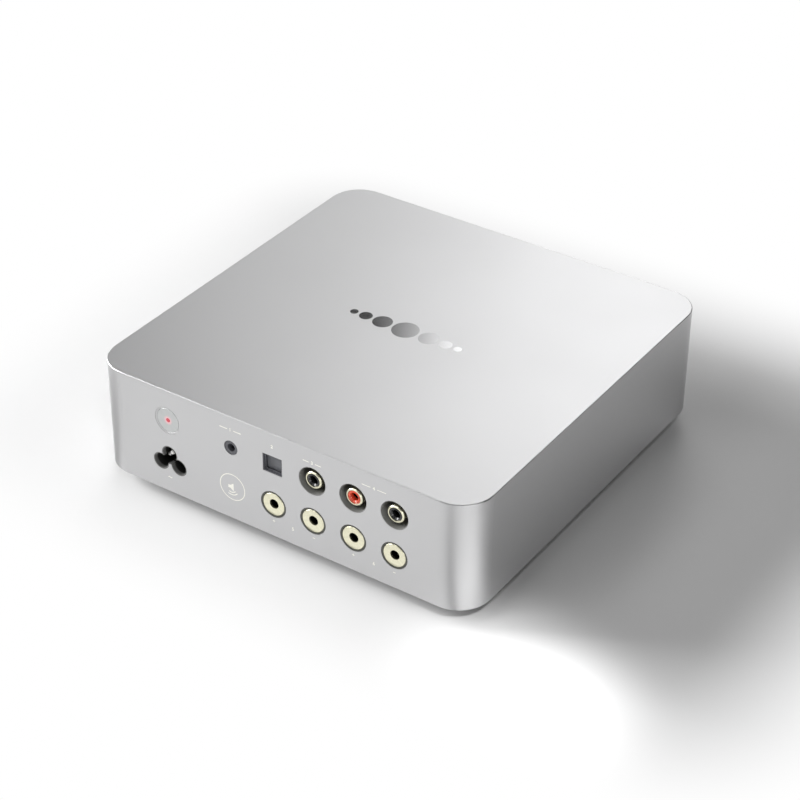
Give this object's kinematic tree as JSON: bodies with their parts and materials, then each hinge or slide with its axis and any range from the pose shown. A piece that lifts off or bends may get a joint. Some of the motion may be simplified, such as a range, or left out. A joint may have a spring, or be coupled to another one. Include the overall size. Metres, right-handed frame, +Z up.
{
  "type": "audio amplifier",
  "caption": "Low square audio amplifier with rounded corners, with phono, optical, trigger, mains and speaker sockets at the rear, and sprung press buttons.",
  "frame": {"origin": "on the surface that the feet stand on, under the middle of the case", "axes": "+Z up, +Y out of the rear face with the sockets, -Y out of the front face"},
  "size_m": [0.2, 0.2, 0.063],
  "materials": {
    "shell_aluminium": "fine bead-blasted, clear anodised",
    "button_aluminium": "satin, clear anodised",
    "polished_inlay": "polished",
    "black_metal": "fine black powder coat",
    "foot_rubber": "matt",
    "screw_steel": "black oxide",
    "nickel": "bright nickel plate",
    "black_plastic": "fine moulded grain",
    "grey_plastic": "smooth moulded",
    "collar_plastic": "smooth moulded",
    "black_insulator": "gloss",
    "red_insulator": "gloss",
    "pale_gold": "bright pale gold plate",
    "red_light": "clear red light pipe, lit",
    "frosted_lens": "frosted light pipe",
    "clear_lens": "clear",
    "circuit_board": "solder mask over glass fibre",
    "ferrite": "sintered",
    "winding_tape": "polyester tape over copper",
    "choke_wire": "enamelled copper",
    "can_sleeve": "shrink sleeve",
    "sink_aluminium": "extruded",
    "fuse_ceramic": "glazed ceramic",
    "chip_resin": "moulded resin",
    "lead_sleeve": "soft sleeve"
  },
  "bodies": {
    "chassis": {"shell": "shell_aluminium", "base_cover": "black_metal", "base_screws": "screw_steel", "top_emblem": "polished_inlay", "foot_left_front": "foot_rubber", "foot_left_rear": "foot_rubber", "foot_right_front": "foot_rubber", "foot_right_rear": "foot_rubber", "mains_inlet": "black_plastic", "mains_pins": "nickel", "button_bezel": "button_aluminium", "power_switch": "black_plastic", "trigger_jack": "grey_plastic", "optical_receiver": "grey_plastic", "optical_lens": "clear_lens", "shutter_pin": "nickel", "coax_housing": "black_plastic", "line_housing": "black_plastic", "coax_barrel": "pale_gold", "line_right_barrel": "pale_gold", "line_left_barrel": "pale_gold", "coax_insulator": "black_insulator", "line_right_insulator": "red_insulator", "line_left_insulator": "black_insulator", "coax_contact": "pale_gold", "line_right_contact": "pale_gold", "line_left_contact": "pale_gold", "speaker_socket_1": "pale_gold", "speaker_socket_2": "pale_gold", "speaker_socket_3": "pale_gold", "speaker_socket_4": "pale_gold", "speaker_collar_1": "collar_plastic", "speaker_collar_2": "collar_plastic", "speaker_collar_3": "collar_plastic", "speaker_collar_4": "collar_plastic", "terminal_block": "black_plastic", "terminal_nuts": "nickel", "source_switch": "black_plastic", "status_lens": "frosted_lens", "front_board": "circuit_board", "amp_board": "circuit_board", "supply_board": "circuit_board", "input_board": "circuit_board", "board_standoffs": "nickel", "board_screws": "nickel", "transformer_core": "ferrite", "transformer_winding": "winding_tape", "filter_choke": "choke_wire", "bulk_capacitor": "can_sleeve", "supply_heatsink": "sink_aluminium", "fuse": "fuse_ceramic", "amp_chips": "chip_resin", "amp_heatsink": "sink_aluminium", "output_inductors": "chip_resin", "reservoir_capacitors": "can_sleeve", "supply_lead": "lead_sleeve"},
    "power_cap": {"power_button": "button_aluminium", "power_light": "red_light"},
    "source_cap": {"source_button": "button_aluminium"},
    "shutter": {"optical_shutter": "grey_plastic"}
  },
  "joints": [
    {"name": "power_button_press", "type": "slide", "parent": "chassis", "child": "power_cap", "axis": [0, -1, 0], "range_m": [0, 0.0008], "stiffness_N_per_m": 1500, "springref_m": -0.0004},
    {"name": "source_button_press", "type": "slide", "parent": "chassis", "child": "source_cap", "axis": [0, 1, 0], "range_m": [0, 0.0005], "stiffness_N_per_m": 1500, "springref_m": -0.0004},
    {"name": "optical_shutter_swing", "type": "hinge", "parent": "chassis", "child": "shutter", "pos_m": [0.001, 0.0973, 0.0497], "axis": [-1, 0, 0], "range_deg": [0, 80], "stiffness_Nm_per_rad": 0.0005, "springref_deg": -11.46}
  ]
}
